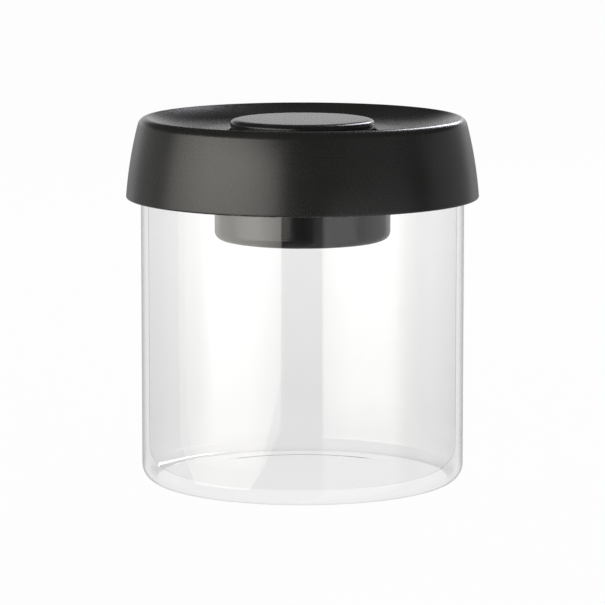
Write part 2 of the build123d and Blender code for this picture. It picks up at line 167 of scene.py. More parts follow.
def lathed(name, corners, arcSteps):
    segments = lathe["segments"]
    form = bmesh.new()
    rings = []
    for p in roundedProfile(corners, arcSteps):
        if p.x < lathe["weld"]:
            rings.append([form.verts.new((0, 0, p.y))])
            continue
        turns = (2 * math.pi * s / segments for s in range(segments))
        rings.append([form.verts.new(polar(p.x, a, p.y)) for a in turns])
    for i, ringB in enumerate(rings):
        ringA = rings[i - 1]
        if len(ringA) == 1 and len(ringB) == 1:
            continue
        for s in range(segments):
            n = (s + 1) % segments
            if len(ringA) == 1:
                form.faces.new((ringA[0], ringB[s], ringB[n]))
            elif len(ringB) == 1:
                form.faces.new((ringA[s], ringB[0], ringA[n]))
            else:
                form.faces.new((ringA[s], ringB[s], ringB[n], ringA[n]))
    bmesh.ops.remove_doubles(form, verts=form.verts, dist=lathe["weld"])
    bmesh.ops.recalc_face_normals(form, faces=form.faces)
    mesh = meshFrom(form, name)
    smoothed(mesh, lathe["sharpFrom"])
    return placed(name, mesh)


# Node tools, for materials, lamps, the world and the springs' tree alike

def combined(tree, kind, a, b=0.0):
    # One Math node; each side is a number or another node's output
    node = tree.nodes.new("ShaderNodeMath")
    node.operation = kind
    for i, value in enumerate((a, b)):
        if isinstance(value, (int, float)):
            node.inputs[i].default_value = value
        else:
            tree.links.new(value, node.inputs[i])
    return node.outputs["Value"]


def product(tree, *values):
    total = values[0]
    for value in values[1:]:
        total = combined(tree, "MULTIPLY", total, value)
    return total


def largest(tree, *values):
    total = values[0]
    for value in values[1:]:
        total = combined(tree, "MAXIMUM", total, value)
    return total


def mixed(tree, share, first, second):
    mix = tree.nodes.new("ShaderNodeMixShader")
    tree.links.new(share, mix.inputs["Fac"])
    tree.links.new(first.outputs[0], mix.inputs[1])
    tree.links.new(second.outputs[0], mix.inputs[2])
    return mix


def ranged(tree, value, low, high, fromLow=0.3, fromHigh=0.7):
    # Most of a noise lies between 0.3 and 0.7
    spread = tree.nodes.new("ShaderNodeMapRange")
    spread.inputs["From Min"].default_value = fromLow
    spread.inputs["From Max"].default_value = fromHigh
    spread.inputs["To Min"].default_value = low
    spread.inputs["To Max"].default_value = high
    tree.links.new(value, spread.inputs["Value"])
    return spread.outputs["Result"]


# Materials

def newFinish(name):
    finish = bpy.data.materials.new(name)
    finish.use_nodes = True
    nodes = finish.node_tree.nodes
    nodes.clear()
    shader = nodes.new("ShaderNodeBsdfPrincipled")
    output = nodes.new("ShaderNodeOutputMaterial")
    finish.node_tree.links.new(shader.outputs["BSDF"], output.inputs["Surface"])
    return finish, shader, output


def objectNoise(tree, scale, detail, rough=0.5):
    place = tree.nodes.new("ShaderNodeTexCoord")
    noise = tree.nodes.new("ShaderNodeTexNoise")
    noise.inputs["Scale"].default_value = scale
    noise.inputs["Detail"].default_value = detail
    noise.inputs["Roughness"].default_value = rough
    tree.links.new(place.outputs["Object"], noise.inputs["Vector"])
    return noise.outputs["Fac"]


def blendedColour(tree, value, colourA, colourB, fromLow=0.35, fromHigh=0.65):
    ramp = tree.nodes.new("ShaderNodeValToRGB")
    ramp.color_ramp.elements[0].color = (*colourA, 1)
    ramp.color_ramp.elements[1].color = (*colourB, 1)
    ramp.color_ramp.elements[0].position = fromLow
    ramp.color_ramp.elements[1].position = fromHigh
    tree.links.new(value, ramp.inputs["Fac"])
    return ramp.outputs["Color"]


def bumped(tree, shader, height, strength, distance):
    bump = tree.nodes.new("ShaderNodeBump")
    bump.inputs["Strength"].default_value = strength
    bump.inputs["Distance"].default_value = distance
    tree.links.new(height, bump.inputs["Height"])
    tree.links.new(bump.outputs["Normal"], shader.inputs["Normal"])


grainedLook = {
    "ior": 1.5,
    "patchScale": 60,  # the colour shifts a little from place to place
    "detail": 2.0,
    "grainRough": 0.6,
}

shellLook = {
    "dark": (0.012, 0.012, 0.0115),
    "light": (0.017, 0.017, 0.0165),
    "roughLow": 0.23,
    "roughHigh": 0.29,
    "grainScale": 2600,  # grain about 0.4 mm apart
    "grainStrength": 0.11,
    "grainHeight": 0.00006,
}

barrelLook = {
    "dark": (0.008, 0.008, 0.008),
    "light": (0.011, 0.011, 0.011),
    "roughLow": 0.13,
    "roughHigh": 0.20,
    "grainScale": 420,
    "grainStrength": 0.04,
    "grainHeight": 0.00005,
}

mechanismLook = {
    "dark": (0.66, 0.655, 0.63),
    "light": (0.72, 0.715, 0.69),
    "roughLow": 0.38,
    "roughHigh": 0.5,
    "grainScale": 900,
    "grainStrength": 0.1,
    "grainHeight": 0.00004,
}

siliconeLook = {
    "dark": (0.018, 0.018, 0.019),
    "light": (0.026, 0.026, 0.027),
    "roughLow": 0.5,
    "roughHigh": 0.62,
    "grainScale": 700,
    "grainStrength": 0.12,
    "grainHeight": 0.00005,
}

feltLook = {
    "dark": (0.62, 0.61, 0.58),
    "light": (0.8, 0.79, 0.77),
    "roughLow": 0.85,
    "roughHigh": 0.95,
    "grainScale": 2200,
    "grainStrength": 0.6,
    "grainHeight": 0.0002,
}

steelLook = {
    "dark": (0.5, 0.5, 0.5),
    "light": (0.6, 0.6, 0.6),
    "roughLow": 0.22,
    "roughHigh": 0.36,
    "grainScale": 900,
    "grainDetail": 3.0,
    "grainStrength": 0.08,
    "grainHeight": 0.00003,
}

glassLook = {
    "tint": 0.992,
    "footTint": 0.918,  # the glass colour is greyer low down, from its foot up to clearFrom
    "clearFrom": 0.075,
    "ior": 1.002,  # the wall is thin, so it bends what is seen through it very little
    "rough": 0.0,
    "coatIor": 1.53,  # and its outer face shines as glass does
    "coat": 1.0,
    "outerWall": (0.0486, 0.0492),  # this far from the axis the inner face ends and the outer begins
    "outerFoot": (0.0015, 0.003),  # the foot's face ends at this height
    "outerCorner": (0.0452, 0.0458),  # and the foot shines only in its corner
    "innerCoat": 0.08,  # through a real wall the inner face is never seen edge on
    "innerTurned": (0.25, 0.8),  # so the coat there fades as the face turns away
    "floorCoat": 0.1,
    "floorHeight": (0.009, 0.018),
    "mostMirrors": 2.5,
    "waveScale": 18,  # slow waves left by the blowing
    "waveDetail": 1.0,
    "waveStrength": 0.05,
    "waveHeight": 0.0006,
}


def grained(name, look):
    # Plastic, rubber or felt: a slightly uneven colour with a fine grain
    finish, shader = newFinish(name)[:2]
    tree = finish.node_tree
    patches = objectNoise(tree, grainedLook["patchScale"], grainedLook["detail"])
    grain = objectNoise(tree, look["grainScale"], grainedLook["detail"], grainedLook["grainRough"])
    colour = blendedColour(tree, patches, look["dark"], look["light"])
    rough = ranged(tree, grain, look["roughLow"], look["roughHigh"])
    tree.links.new(colour, shader.inputs["Base Color"])
    tree.links.new(rough, shader.inputs["Roughness"])
    shader.inputs["IOR"].default_value = grainedLook["ior"]
    bumped(tree, shader, grain, look["grainStrength"], look["grainHeight"])
    return finish


def plainSteel():
    look = steelLook
    finish, shader = newFinish("plainSteel")[:2]
    tree = finish.node_tree
    shader.inputs["Metallic"].default_value = 1.0
    grain = objectNoise(tree, look["grainScale"], look["grainDetail"])
    colour = blendedColour(tree, grain, look["dark"], look["light"])
    rough = ranged(tree, grain, look["roughLow"], look["roughHigh"])
    tree.links.new(colour, shader.inputs["Base Color"])
    tree.links.new(rough, shader.inputs["Roughness"])
    bumped(tree, shader, grain, look["grainStrength"], look["grainHeight"])
    return finish


def axisDistance(tree, place):
    flat = tree.nodes.new("ShaderNodeVectorMath")
    flat.operation = "MULTIPLY"
    flat.inputs[1].default_value = (1, 1, 0)
    length = tree.nodes.new("ShaderNodeVectorMath")
    length.operation = "LENGTH"
    tree.links.new(place, flat.inputs[0])
    tree.links.new(flat.outputs["Vector"], length.inputs[0])
    return length.outputs["Value"]


def glassCoat(tree, distance, height):
    # The coat is whole on the outer wall and the foot's corner, and held back inside and near the floor
    look = glassLook
    turned = tree.nodes.new("ShaderNodeLayerWeight")
    turned.inputs["Blend"].default_value = 0.5
    onWall = ranged(tree, distance, 0.0, look["coat"], *look["outerWall"])
    onFoot = ranged(tree, height, look["coat"], 0.0, *look["outerFoot"])
    onCorner = ranged(tree, distance, 0.0, 1.0, *look["outerCorner"])
    inside = ranged(tree, turned.outputs["Facing"], look["coat"], look["innerCoat"], *look["innerTurned"])
    aboveFloor = ranged(tree, height, look["floorCoat"], 1.0, *look["floorHeight"])
    return largest(tree, onWall, product(tree, onFoot, onCorner), product(tree, inside, aboveFloor))


def clearGlass():
    look = glassLook
    finish, shader, output = newFinish("clearGlass")
    tree = finish.node_tree
    place = tree.nodes.new("ShaderNodeTexCoord")
    split = tree.nodes.new("ShaderNodeSeparateXYZ")
    tree.links.new(place.outputs["Object"], split.inputs["Vector"])
    height = split.outputs["Z"]
    tint = ranged(tree, height, look["footTint"], look["tint"], 0.0, look["clearFrom"])
    coat = glassCoat(tree, axisDistance(tree, place.outputs["Object"]), height)
    tree.links.new(tint, shader.inputs["Base Color"])
    tree.links.new(coat, shader.inputs["Coat Weight"])
    shader.inputs["Transmission Weight"].default_value = 1.0
    shader.inputs["Roughness"].default_value = look["rough"]
    shader.inputs["IOR"].default_value = look["ior"]
    shader.inputs["Coat Roughness"].default_value = look["rough"]
    shader.inputs["Coat IOR"].default_value = look["coatIor"]
    wave = objectNoise(tree, look["waveScale"], look["waveDetail"])
    bumped(tree, shader, wave, look["waveStrength"], look["waveHeight"])
    # Lamps shine through the glass, and light that is caught between its faces gets out
    path = tree.nodes.new("ShaderNodeLightPath")
    clear = tree.nodes.new("ShaderNodeBsdfTransparent")
    tree.links.new(tint, clear.inputs["Color"])
    caught = combined(tree, "GREATER_THAN", path.outputs["Glossy Depth"], look["mostMirrors"])
    through = largest(tree, caught, path.outputs["Is Shadow Ray"])
    mix = mixed(tree, through, shader, clear)
    tree.links.new(mix.outputs["Shader"], output.inputs["Surface"])
    return finish


glassFinish = clearGlass()
shellFinish = grained("blackShell", shellLook)
barrelFinish = grained("glossyPump", barrelLook)
mechanismFinish = grained("naturalPlastic", mechanismLook)
siliconeFinish = grained("blackSilicone", siliconeLook)
feltFinish = grained("whiteFelt", feltLook)
steelFinish = plainSteel()
say("materials are ready")


# Sizes read from the frame, in millimetres

def sizes(nodeName):
    low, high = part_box(nodeName)
    return {"radius": (high.x - low.x) / 2 / mm, "low": low.z / mm, "high": high.z / mm}


jarSize = sizes("glass_jar")
coverSize = sizes("lid_cover")
capSize = sizes("button_cap")


# Glass jar

jarShape = {
    "wall": 2.4,
    "floor": 3.8,
    "baseCorner": 5.0,
    "floorCorner": 7.0,
    "rimRound": 0.95,
    "footWidth": 6.85,  # of the ring that the jar stands on
    "pushUp": 0.8,  # how high the middle of the foot lies
    "pushUpRun": 5.0,
    "pushUpRound": 6.0,
    "arcSteps": 12,  # in each rounded corner
}


def makeJar():
    s = jarShape
    radius, height = jarSize["radius"], jarSize["high"]
    bore = radius - s["wall"]
    footInner = radius - s["baseCorner"] - s["footWidth"]
    corners = [
        (0, s["pushUp"]),
        (0, s["floor"]),
        (bore, s["floor"], s["floorCorner"]),
        (bore, height, s["rimRound"]),
        (radius, height, s["rimRound"]),
        (radius, 0, s["baseCorner"]),
        (footInner, 0, s["pushUpRound"]),
        (footInner - s["pushUpRun"], s["pushUp"], s["pushUpRound"]),
    ]
    jar = dress(lathed("glassJar", corners, s["arcSteps"]), glassFinish)
    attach(jar, "jar")
    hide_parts("glass_jar")


# Lid cover

coverShape = {
    "overhang": 4.65,  # of the skirt past the jar
    "rise": 13.95,  # of the crest above the jar's rim
    "crestInset": 4.3,
    "crestWidth": 2.3,
    "crestFall": 0.3,
    "crestRound": 2.9,
    "crestInnerRound": 1.2,
    "skirtBulge": 0.6,
    "dishDepth": 3.95,
    "dishFlat": 33.0,  # the dish is flat out to here, then it sweeps up to the crest
    "dishSteps": 14,
    "wall": 2.2,
    "wallLean": 0.73,  # how far in a wall goes for each millimetre of its thickness
    "edgeRound": 0.5,
    "wellRadius": 23.2,
    "wellWall": 1.6,
    "wellEdgeRound": 0.45,
    "wellLow": 101.3,
    "arcSteps": 10,
}


def dishCurve(flat, crestInner, low, high):
    # From the flat of the dish up to the crest, without either end
    steps = coverShape["dishSteps"]
    curve = []
    for i in range(1, steps):
        t = i / steps
        curve.append((flat + (crestInner - flat) * t, low + (high - low) * t * t))
    return curve


def makeCover():
    s = coverShape
    radius = jarSize["radius"] + s["overhang"]
    low = coverSize["low"]
    crest = jarSize["high"] + s["rise"]
    dish = crest - s["dishDepth"]
    wall = s["wall"]
    corner = radius - s["crestInset"]
    cornerInside = corner - wall * s["wallLean"]
    cornerHigh = crest - s["crestFall"]
    crestInner = corner - s["crestWidth"]
    wellOuter = s["wellRadius"] + s["wellWall"]
    sweep = dishCurve(s["dishFlat"], crestInner, dish, crest)
    underside = [(r, z - wall) for r, z in reversed(sweep)]
    corners = [
        (s["wellRadius"], s["wellLow"]),
        (s["wellRadius"], dish, s["wellEdgeRound"]),
        (s["dishFlat"], dish),
        *sweep,
        (crestInner, crest, s["crestInnerRound"]),
        (corner, cornerHigh, s["crestRound"]),
        (radius, low, s["edgeRound"], s["skirtBulge"]),
        (radius - wall, low, s["edgeRound"]),
        (cornerInside, cornerHigh - wall, s["edgeRound"], -s["skirtBulge"]),
        (crestInner, crest - wall),
        *underside,
        (s["dishFlat"], dish - wall),
        (wellOuter, dish - wall, s["edgeRound"]),
        (wellOuter, s["wellLow"]),
    ]
    cover = dress(lathed("lidCover", corners, s["arcSteps"]), shellFinish)
    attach(cover, "lid")
    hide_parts("lid_cover")


# Button

capShape = {
    "shoulder": 3.2,
    "shoulderDrop": 1.5,
    "shoulderSteps": 10,
    "sideBow": 0.15,
    "rimHeight": 4.0,
    "tuck": 0.55,  # how far the rim's lower edge turns in
    "sleeveInset": 0.9,  # of the sleeve below the rim
    "sleeveWall": 1.8,
    "top": 2.0,
    "edgeRound": 0.25,
    "arcSteps": 8,
}


def shoulderCurve(start, corner, end):
    # A smooth curve that heads for the corner from both ends
    steps = capShape["shoulderSteps"]
    curve = []
    for i in range(1, steps + 1):
        t = i / steps
        spot = Vector(start) * (1 - t) ** 2 + Vector(corner) * 2 * t * (1 - t) + Vector(end) * t * t
        curve.append((spot.x, spot.y))
    return curve


def makeButton():
    s = capShape
    radius, top, low = capSize["radius"], capSize["high"], capSize["low"]
    sleeve = radius - s["sleeveInset"]
    sleeveInside = sleeve - s["sleeveWall"]
    under = top - s["rimHeight"]
    side = (radius, top - s["shoulderDrop"])
    corners = [
        (0, top),
        (0, top - s["top"]),
        (sleeveInside, top - s["top"], s["edgeRound"]),
        (sleeveInside, low),
        (sleeve, low),
        (sleeve, under),
        (radius - s["tuck"], under, s["edgeRound"]),
        (*side, 0, -s["sideBow"]),
    ]
    corners += shoulderCurve(side, (radius, top), (radius - s["shoulder"], top))
    button = dress(lathed("buttonCap", corners, s["arcSteps"]), shellFinish)
    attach(button, "button")
    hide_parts("button_cap")


makeJar()
makeCover()
makeButton()
say("jar, cover and button are turned")


# Inner pieces: three keep the solid's shape with smooth faces, the others only get a finish

innerShape = {
    "weld": 1e-6,  # in metres
    "sharpFrom": 30,
}


def smoothPiece(nodeName, pieceName, finish, body):
    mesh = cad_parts[nodeName].data.copy()
    mesh.name = pieceName
    form = bmesh.new()
    form.from_mesh(mesh)
    bmesh.ops.remove_doubles(form, verts=form.verts, dist=innerShape["weld"])
    form.to_mesh(mesh)
    form.free()
    smoothed(mesh, innerShape["sharpFrom"])
    piece = dress(placed(pieceName, mesh), finish)
    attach(piece, body)
    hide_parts(nodeName)


smoothPiece("inner_lid", "innerLid", barrelFinish, "lid")
smoothPiece("filter_cover", "filterCover", barrelFinish, "lid")
smoothPiece("mouth_gasket", "mouthGasket", siliconeFinish, "lid")
for nodeName in ("screw_seals", "intake_valve", "exhaust_valve", "piston_seal", "release_seal"):
    dress(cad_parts[nodeName], siliconeFinish)
for nodeName in ("barrel_retainer", "release_ring", "release_guide", "release_plunger", "piston"):
    dress(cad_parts[nodeName], mechanismFinish)
dress(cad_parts["intake_filter"], feltFinish)
say("inner pieces are dressed")


# Geometry Nodes trees

def newTree(name, sockets):
    tree = bpy.data.node_groups.new(name, "GeometryNodeTree")
    tree.interface.new_socket(name="Geometry", in_out="INPUT", socket_type="NodeSocketGeometry")
    for socketName, kind in sockets.items():
        tree.interface.new_socket(name=socketName, in_out="INPUT", socket_type="NodeSocket" + kind)
    tree.interface.new_socket(name="Geometry", in_out="OUTPUT", socket_type="NodeSocketGeometry")
    return tree, tree.nodes.new("NodeGroupInput"), tree.nodes.new("NodeGroupOutput")


def closeTree(tree, given, result, geometry):
    # Every tree ends in plain geometry with its finish
    real = tree.nodes.new("GeometryNodeRealizeInstances")
    paint = tree.nodes.new("GeometryNodeSetMaterial")
    tree.links.new(geometry, real.inputs["Geometry"])
    tree.links.new(real.outputs["Geometry"], paint.inputs["Geometry"])
    tree.links.new(given.outputs["Finish"], paint.inputs["Material"])
    tree.links.new(paint.outputs["Geometry"], result.inputs["Geometry"])


def grown(name, hostMesh, tree, values):
    # Runs the tree on the host and keeps its result as a plain mesh
    piece = placed(name, hostMesh)
    modifier = piece.modifiers.new("grown", "NODES")
    modifier.node_group = tree
    for item in tree.interface.items_tree:
        if item.in_out == "INPUT" and item.name in values:
            modifier[item.identifier] = values[item.name]
    bpy.context.view_layer.update()
    evaluated = piece.evaluated_get(bpy.context.evaluated_depsgraph_get())
    mesh = bpy.data.meshes.new_from_object(evaluated)
    piece.modifiers.clear()
    piece.data = mesh
    mesh.name = name
    return piece


# Screws: a low round head with a cross recess, a threaded shank and a short point

screwShape = {
    "around": 28,  # points in a ring
    "headHeight": 1.4,
    "headRound": 0.7,
    "headSteps": 6,
    "pitch": 0.9,
    "threadDepth": 0.22,
    "rowsPerTurn": 8,
    "neck": 0.5,
    "recessDepth": 0.7,
    "recessWidthShare": 0.5,  # of the shank's radius
    "recessMouth": (0.75, 1.4),  # length as a share of the head's radius, and how much wider
    "recessEnd": (0.35, 0.8),
    "sharpFrom": 34,
    "turnSeed": 4,
}


def screwRows(shank, head, length):
    # Radius, height and depth of thread for each ring of points, from the head to the tip
    s = screwShape
    rows = [(0, -s["headHeight"], 0)]
    for i in range(s["headSteps"] + 1):
        bend = math.pi / 2 * i / s["headSteps"]
        radius = head - s["headRound"] * (1 - math.sin(bend))
        rows.append((radius, -s["headHeight"] + s["headRound"] * (1 - math.cos(bend)), 0))
    rows += [(head, 0, 0), (shank, 0, 0), (shank, s["neck"], 0)]
    step = s["pitch"] / s["rowsPerTurn"]
    threadTop = length - shank
    count = int((threadTop - s["neck"]) / step)
    for i in range(1, count):
        fadeIn = min(1.0, i / s["rowsPerTurn"], (count - i) / s["rowsPerTurn"])
        rows.append((shank, s["neck"] + i * step, s["threadDepth"] * fadeIn))
    return rows + [(shank, threadTop, 0), (shank / 2, length, 0), (0, length, 0)]


def oneScrew(name, shank, head, length):
    # Head at the foot, point up, in millimetres
    s = screwShape
    form = bmesh.new()
    rings = []
    for radius, height, depth in screwRows(shank, head, length):
        if not radius:
            rings.append([form.verts.new((0, 0, height * mm))])
            continue
        ring = []
        for k in range(s["around"]):
            phase = (height / s["pitch"] - k / s["around"]) % 1
            reach = (radius - depth * abs(2 * phase - 1)) * mm
            ring.append(form.verts.new(polar(reach, 2 * math.pi * k / s["around"], height * mm)))
        rings.append(ring)
    for lower, upper in zip(rings, rings[1:]):
        for k in range(s["around"]):
            n = (k + 1) % s["around"]
            if len(lower) == 1:
                form.faces.new((lower[0], upper[n], upper[k]))
            elif len(upper) == 1:
                form.faces.new((lower[k], lower[n], upper[0]))
            else:
                form.faces.new((lower[k], lower[n], upper[n], upper[k]))
    bmesh.ops.recalc_face_normals(form, faces=form.faces)
    screw = placed(name, meshFrom(form, name))
    cutRecess(screw, shank, head)
    return screw


def cutRecess(screw, shank, head):
    s = screwShape
    arm = shank * s["recessWidthShare"] / 2
    form = bmesh.new()
    for turn in (0, math.pi / 2):
        corners = []
        for side, (lengthShare, wider) in ((-1, s["recessMouth"]), (1, s["recessEnd"])):
            height = -s["headHeight"] + side * s["recessDepth"]
            long, half = head * lengthShare, arm * wider
            for x, y in ((-long, -half), (long, -half), (long, half), (-long, half)):
                across = x * math.cos(turn) - y * math.sin(turn)
                along = x * math.sin(turn) + y * math.cos(turn)
                corners.append(form.verts.new((across * mm, along * mm, height * mm)))
        low, high = corners[:4], corners[4:]
        form.faces.new(low)
        form.faces.new(high)
        for k in range(4):
            form.faces.new((low[k], low[(k + 1) % 4], high[(k + 1) % 4], high[k]))
    bmesh.ops.recalc_face_normals(form, faces=form.faces)
    cutter = placed("recess", meshFrom(form, "recess"))
    cut = screw.modifiers.new("recess", "BOOLEAN")
    cut.object = cutter
    cut.solver = "EXACT"
    cut.use_self = True
    evaluated = screw.evaluated_get(bpy.context.evaluated_depsgraph_get())
    done = bpy.data.meshes.new_from_object(evaluated)
    screw.modifiers.clear()
    screw.data = done
    smoothed(done, s["sharpFrom"])
    bpy.data.objects.remove(cutter)


def screwTree():
    tree, given, result = newTree("screwsInPlace", {
        "Screw": "Object", "Seed": "Int", "Tip": "Vector", "Finish": "Material"})
    nodes, links = tree.nodes, tree.links
    info = nodes.new("GeometryNodeObjectInfo")
    spread = nodes.new("GeometryNodeInstanceOnPoints")
    spin = nodes.new("FunctionNodeRandomValue")
    spin.data_type = "FLOAT"
    spin.inputs[3].default_value = 2 * math.pi  # its upper end, a whole turn
    axis = nodes.new("ShaderNodeCombineXYZ")
    tilt = nodes.new("ShaderNodeVectorMath")
    tilt.operation = "ADD"
    links.new(given.outputs["Screw"], info.inputs["Object"])
    links.new(given.outputs["Seed"], spin.inputs["Seed"])
    links.new(spin.outputs[1], axis.inputs["Z"])
    links.new(axis.outputs["Vector"], tilt.inputs[0])
    links.new(given.outputs["Tip"], tilt.inputs[1])
    links.new(given.outputs["Geometry"], spread.inputs["Points"])
    links.new(info.outputs["Geometry"], spread.inputs["Instance"])
    links.new(tilt.outputs["Vector"], spread.inputs["Rotation"])
    closeTree(tree, given, result, spread.outputs["Instances"])
    return tree


def screwSet(name, look, tree):
    # The node's box gives how high the set sits, and its length
    box = sizes(look["node"])
    length = box["high"] - box["low"] - screwShape["headHeight"]
    pattern = oneScrew(name + "Pattern", look["shank"], look["head"], length)
    seat = box["low"] + screwShape["headHeight"]
    if look["headUp"]:
        seat = box["high"] - screwShape["headHeight"]
    places = [polar(look["circle"] * mm, math.radians(angle), seat * mm) for angle in look["angles"]]
    host = bpy.data.meshes.new(name)
    host.from_pydata(places, [], [])
    piece = grown(name, host, tree, {
        "Screw": pattern,
        "Seed": screwShape["turnSeed"],
        "Tip": (math.pi if look["headUp"] else 0.0, 0.0, 0.0),
        "Finish": steelFinish,
    })
    bpy.data.objects.remove(pattern)
    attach(piece, look["body"])
    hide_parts(look["node"])


coverScrews = {
    "node": "lid_screws",
    "body": "lid",
    "shank": 1.25,
    "head": 2.4,
    "circle": 39.5,
    "angles": (70, 135, 225, 290),
    "headUp": False,
}

retainerScrews = {
    "node": "retainer_screws",
    "body": "lid",
    "shank": 1.1,
    "head": 2.2,
    "circle": 32.55,
    "angles": (90, 180, 270),
    "headUp": True,
}

pistonScrews = {
    "node": "piston_screws",
    "body": "button",
    "shank": 1.1,
    "head": 2.2,
    "circle": 17.4,
    "angles": (30, 150, 270),
    "headUp": False,
}

screwsInPlace = screwTree()
screwSet("coverScrews", coverScrews, screwsInPlace)
screwSet("retainerScrews", retainerScrews, screwsInPlace)
screwSet("pistonScrews", pistonScrews, screwsInPlace)
say("screws are in")


# Springs: round wire on a helix whose end turns lie closer

wireShape = {
    "stepsPerTurn": 48,
    "around": 14,
}


def springTree():
    tree, given, result = newTree("springWire", {
        "Turns": "Float", "Radius": "Float", "Wire": "Float", "Low": "Float", "High": "Float",
        "Closeness": "Float", "Centre": "Vector", "Finish": "Material"})
    nodes, links = tree.nodes, tree.links
    spiral = nodes.new("GeometryNodeCurveSpiral")
    spiral.inputs["Resolution"].default_value = wireShape["stepsPerTurn"]
    spiral.inputs["Height"].default_value = 0.0
    factor = nodes.new("GeometryNodeSplineParameter")
    place = nodes.new("GeometryNodeSetPosition")
    section = nodes.new("GeometryNodeCurvePrimitiveCircle")
    section.inputs["Resolution"].default_value = wireShape["around"]
    sweep = nodes.new("GeometryNodeCurveToMesh")
    sweep.inputs["Fill Caps"].default_value = True
    smooth = nodes.new("GeometryNodeSetShadeSmooth")
    rise = nodes.new("ShaderNodeCombineXYZ")
    shift = nodes.new("ShaderNodeVectorMath")
    shift.operation = "ADD"
    # The height lags behind the turning near both ends, which brings the end turns together
    along = factor.outputs["Factor"]
    wave = combined(tree, "SINE", product(tree, along, 2 * math.pi))
    lag = product(tree, wave, given.outputs["Closeness"], 1 / (2 * math.pi))
    share = combined(tree, "SUBTRACT", along, lag)
    height = combined(tree, "SUBTRACT", given.outputs["High"], given.outputs["Low"])
    level = combined(tree, "ADD", product(tree, share, height), given.outputs["Low"])
    links.new(given.outputs["Turns"], spiral.inputs["Rotations"])
    links.new(given.outputs["Radius"], spiral.inputs["Start Radius"])
    links.new(given.outputs["Radius"], spiral.inputs["End Radius"])
    links.new(level, rise.inputs["Z"])
    links.new(rise.outputs["Vector"], shift.inputs[0])
    links.new(given.outputs["Centre"], shift.inputs[1])
    links.new(spiral.outputs["Curve"], place.inputs["Geometry"])
    links.new(shift.outputs["Vector"], place.inputs["Offset"])
    links.new(given.outputs["Wire"], section.inputs["Radius"])
    links.new(place.outputs["Geometry"], sweep.inputs["Curve"])
    links.new(section.outputs["Curve"], sweep.inputs["Profile Curve"])
    links.new(sweep.outputs["Mesh"], smooth.inputs["Geometry"])
    closeTree(tree, given, result, smooth.outputs["Geometry"])
    return tree


def spring(name, look, tree):
    box = sizes(look["node"])
    piece = grown(name, bpy.data.meshes.new(name), tree, {
        "Turns": look["turns"],
        "Radius": look["radius"] * mm,
        "Wire": look["wire"] * mm,
        "Low": (box["low"] + look["wire"]) * mm,
        "High": (box["high"] - look["wire"]) * mm,
        "Closeness": look["closeness"],
        "Centre": (look["centre"] * mm, 0.0, 0.0),
        "Finish": steelFinish,
    })
    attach(piece, "lid")
    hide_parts(look["node"])
    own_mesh(piece)


returnSpring = {
    "node": "return_spring",
    "joint": "button_press",
    "radius": 12.5,
    "wire": 0.6,
    "turns": 4.5,
    "closeness": 0.5,
    "centre": 0.0,
    "fixedEnd": 77.9,
}

releaseSpring = {
    "node": "release_spring",
    "joint": "release_lift",
    "radius": 3.0,
    "wire": 0.25,
    "turns": 3.5,
    "closeness": 0.4,
    "centre": 35.475,
    "fixedEnd": 99.9,
}

springWire = springTree()
spring("returnSpring", returnSpring, springWire)
spring("releaseSpring", releaseSpring, springWire)
say("springs are in")


# Camera

cameraSetup = {
    "place": (0.0, -1.2, 0.2276),
    "pitch": 8.16,
    "focalPixels": 3874,  # focal length, in the picture's pixels
    "imagePixels": 605,
    "sensor": 36.0,
    "clip": (0.05, 50),
}


def makeCamera():
    s = cameraSetup
    camera = bpy.data.cameras.new("photoCamera")
    camera.sensor_width = s["sensor"]
    camera.lens = s["sensor"] * s["focalPixels"] / s["imagePixels"]
    camera.clip_start, camera.clip_end = s["clip"]
    holder = placed("photoCamera", camera)
    holder.location = s["place"]
    holder.rotation_euler = (math.radians(90 - s["pitch"]), 0, 0)
    bpy.context.scene.camera = holder


# Lamps: azimuth is in degrees from the camera's side, turning to the right, and radiance is what
# a mirror would show. A fade gives the share of light at an end of the lamp, and where it is whole again.

bigSoftbox = {
    "azimuth": -56.0,
    "height": 0.14,
    "distance": 1.1,
    "size": (1.95, 0.85),
    "radiance": 3.9,
    "colour": (1.0, 0.97, 0.91),
    "aim": (0, 0, 0.06),
    "fade": {"left": (0.5, 0.3), "right": (0.28, 0.42), "bottom": (0.55, 0.8)},
}

backRightLamp = {
    "azimuth": 158.3,
    "height": 0.59,
    "distance": 0.82,
    "size": (0.16, 0.46),
    "radiance": 11,
    "colour": (0.93, 0.93, 1.0),
    "aim": (0, 0, 0.11),
}


# For each end of a lamp: the axis that runs to it, where the end lies on it, and which way leads in
lampEnds = {"left": ("X", 1.0, -1), "right": ("X", 0.0, 1), "bottom": ("Y", 0.0, 1)}


def fadeLamp(lamp, fade):
    lamp.use_nodes = True
    tree = lamp.node_tree
    place = tree.nodes.new("ShaderNodeNewGeometry")
    split = tree.nodes.new("ShaderNodeSeparateXYZ")
    tree.links.new(place.outputs["Parametric"], split.inputs["Vector"])
    ends = []
    for end, (axis, edge, inwards) in lampEnds.items():
        share, width = fade[end]
        ends.append(ranged(tree, split.outputs[axis], share, 1.0, edge, edge + inwards * width))
    tree.links.new(product(tree, *ends), tree.nodes["Emission"].inputs["Strength"])


def areaLamp(name, look):
    lamp = bpy.data.lights.new(name, "AREA")
    lamp.shape = "RECTANGLE"
    lamp.size, lamp.size_y = look["size"]
    lamp.energy = look["radiance"] * math.pi * lamp.size * lamp.size_y
    lamp.color = look["colour"]
    if "fade" in look:
        fadeLamp(lamp, look["fade"])
    holder = placed(name, lamp)
    fromFront = math.radians(look["azimuth"])
    holder.location = polar(look["distance"], fromFront - math.pi / 2, look["height"])
    direction = Vector(look["aim"]) - holder.location
    holder.rotation_euler = direction.to_track_quat("-Z", "Y").to_euler()
    holder.visible_camera = False


# Floor: white paper as the camera sees it, matt where it sends light on, and nothing to a mirror

